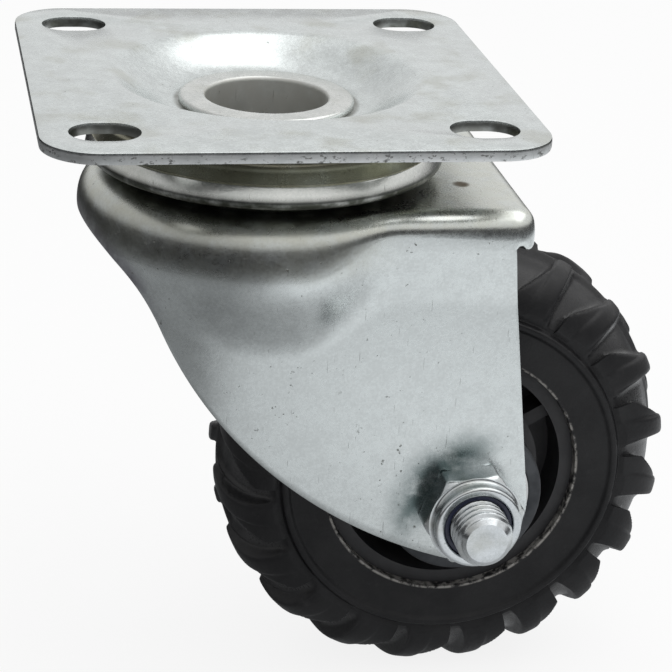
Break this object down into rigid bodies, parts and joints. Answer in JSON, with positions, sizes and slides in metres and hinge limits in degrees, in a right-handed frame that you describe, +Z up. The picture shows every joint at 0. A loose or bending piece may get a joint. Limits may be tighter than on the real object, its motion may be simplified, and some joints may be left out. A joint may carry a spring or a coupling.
{
  "type": "swivel castor",
  "caption": "Plate-mounted swivel castor with a hollow kingpin, a pressed zinc-plated fork and a lugged solid rubber wheel on a bolted axle.",
  "frame": {"origin": "centre of the top plate's upper face, on the swivel axis", "axes": "+Z up along the swivel axis into what the plate is bolted to, +X the way the fork trails, Y along the axle"},
  "size_m": [0.14, 0.102, 0.1348],
  "materials": {
    "zinc_sheet": "zinc plated, satin, stained in the hollows",
    "zinc_race": "zinc plated with an olive tint",
    "zinc_bright": "bright zinc",
    "zinc_fastener": "bright zinc",
    "nylon_insert": "dark nylon",
    "bearing_steel": "ground steel",
    "shield_steel": "pressed steel",
    "hub_steel": "grey turned tube",
    "core_plastic": "black moulded",
    "tyre_rubber": "matt black rubber"
  },
  "bodies": {
    "plate": {"top_plate": "zinc_sheet", "upper_race": "zinc_race", "dust_ring": "zinc_bright", "kingpin": "zinc_bright", "lower_race": "zinc_race"},
    "swivel_balls": {"upper_balls": "bearing_steel", "lower_balls": "bearing_steel"},
    "fork": {"fork": "zinc_sheet", "axle_bolt": "zinc_fastener", "lock_nut": "zinc_fastener", "nut_insert": "nylon_insert", "near_washer": "zinc_fastener", "far_washer": "zinc_fastener", "axle_sleeve": "bearing_steel", "near_inner_ring": "bearing_steel", "far_inner_ring": "bearing_steel"},
    "wheel": {"hub_tube": "hub_steel", "wheel_core": "core_plastic", "tyre": "tyre_rubber", "near_outer_ring": "bearing_steel", "far_outer_ring": "bearing_steel", "near_shield": "shield_steel", "far_shield": "shield_steel"},
    "wheel_balls": {"near_balls": "bearing_steel", "far_balls": "bearing_steel"}
  },
  "joints": [
    {"name": "swivel", "type": "hinge", "parent": "plate", "child": "fork", "pos_m": [0, 0, 0], "axis": [0, 0, 1], "continuous": true},
    {"name": "swivel_balls_roll", "type": "hinge", "parent": "plate", "child": "swivel_balls", "pos_m": [0, 0, 0], "axis": [0, 0, 1], "continuous": true},
    {"name": "wheel_spin", "type": "hinge", "parent": "fork", "child": "wheel", "pos_m": [0.041, 0, -0.0848], "axis": [0, 1, 0], "continuous": true},
    {"name": "wheel_balls_roll", "type": "hinge", "parent": "fork", "child": "wheel_balls", "pos_m": [0.041, 0, -0.0848], "axis": [0, 1, 0], "continuous": true}
  ],
  "couplings": [
    {"joint": "swivel_balls_roll", "follows": "swivel", "ratio": 0.5},
    {"joint": "wheel_balls_roll", "follows": "wheel_spin", "ratio": 0.62}
  ]
}
